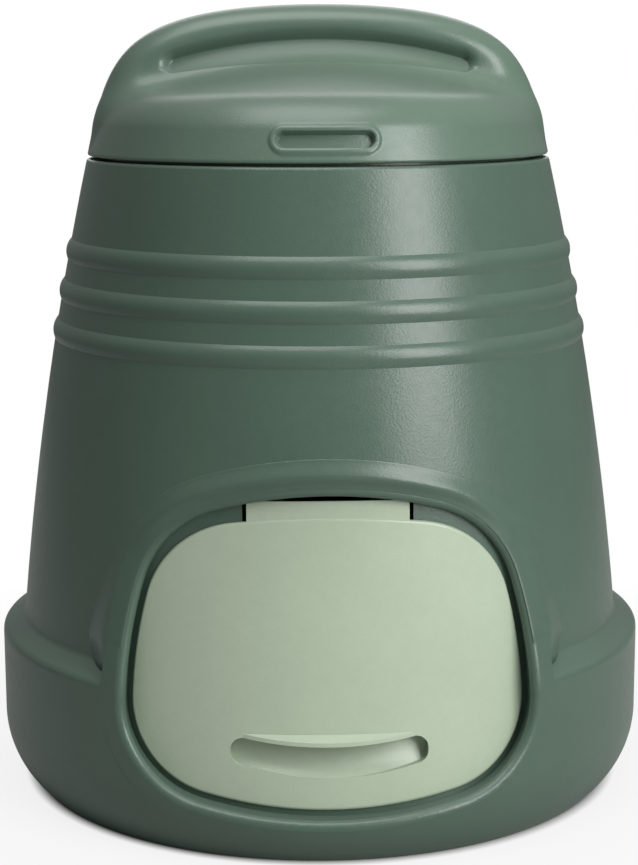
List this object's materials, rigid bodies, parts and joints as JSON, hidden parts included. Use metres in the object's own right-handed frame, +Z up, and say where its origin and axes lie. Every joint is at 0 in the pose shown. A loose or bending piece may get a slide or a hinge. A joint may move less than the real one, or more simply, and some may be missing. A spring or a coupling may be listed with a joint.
{
  "type": "compost bin",
  "caption": "Round tapered garden compost bin with a lift-off domed lid, a grip ridge and a hinged emptying hatch low on the front.",
  "frame": {"origin": "centre of the footprint on the ground plane", "axes": "+Z up, -Y towards the front, where the hatch is, +X to the right as seen from the front"},
  "size_m": [0.7, 0.6945, 0.832],
  "materials": {
    "body_plastic": "dark green polyethylene moulding, satin with a fine leathery grain",
    "lid_plastic": "dark green polyethylene moulding, satin",
    "hatch_plastic": "pale sage green polypropylene moulding, satin",
    "pin_plastic": "dark green moulded nylon"
  },
  "bodies": {
    "body": {"body_shell": "body_plastic", "neck_ring": "body_plastic", "hinge_pin_left": "pin_plastic", "hinge_pin_right": "pin_plastic"},
    "hatch": {"hatch_panel": "hatch_plastic"},
    "lid": {"lid_shell": "lid_plastic", "lid_rim": "lid_plastic"}
  },
  "joints": [
    {"name": "hatch_hinge", "type": "hinge", "parent": "body", "child": "hatch", "pos_m": [0, -0.2741, 0.34341], "axis": [-1, 0, 0], "range_deg": [0, 55]},
    {"name": "lid_lift", "type": "slide", "parent": "body", "child": "lid", "axis": [0, 0, 1], "range_m": [0, 0.12]}
  ]
}
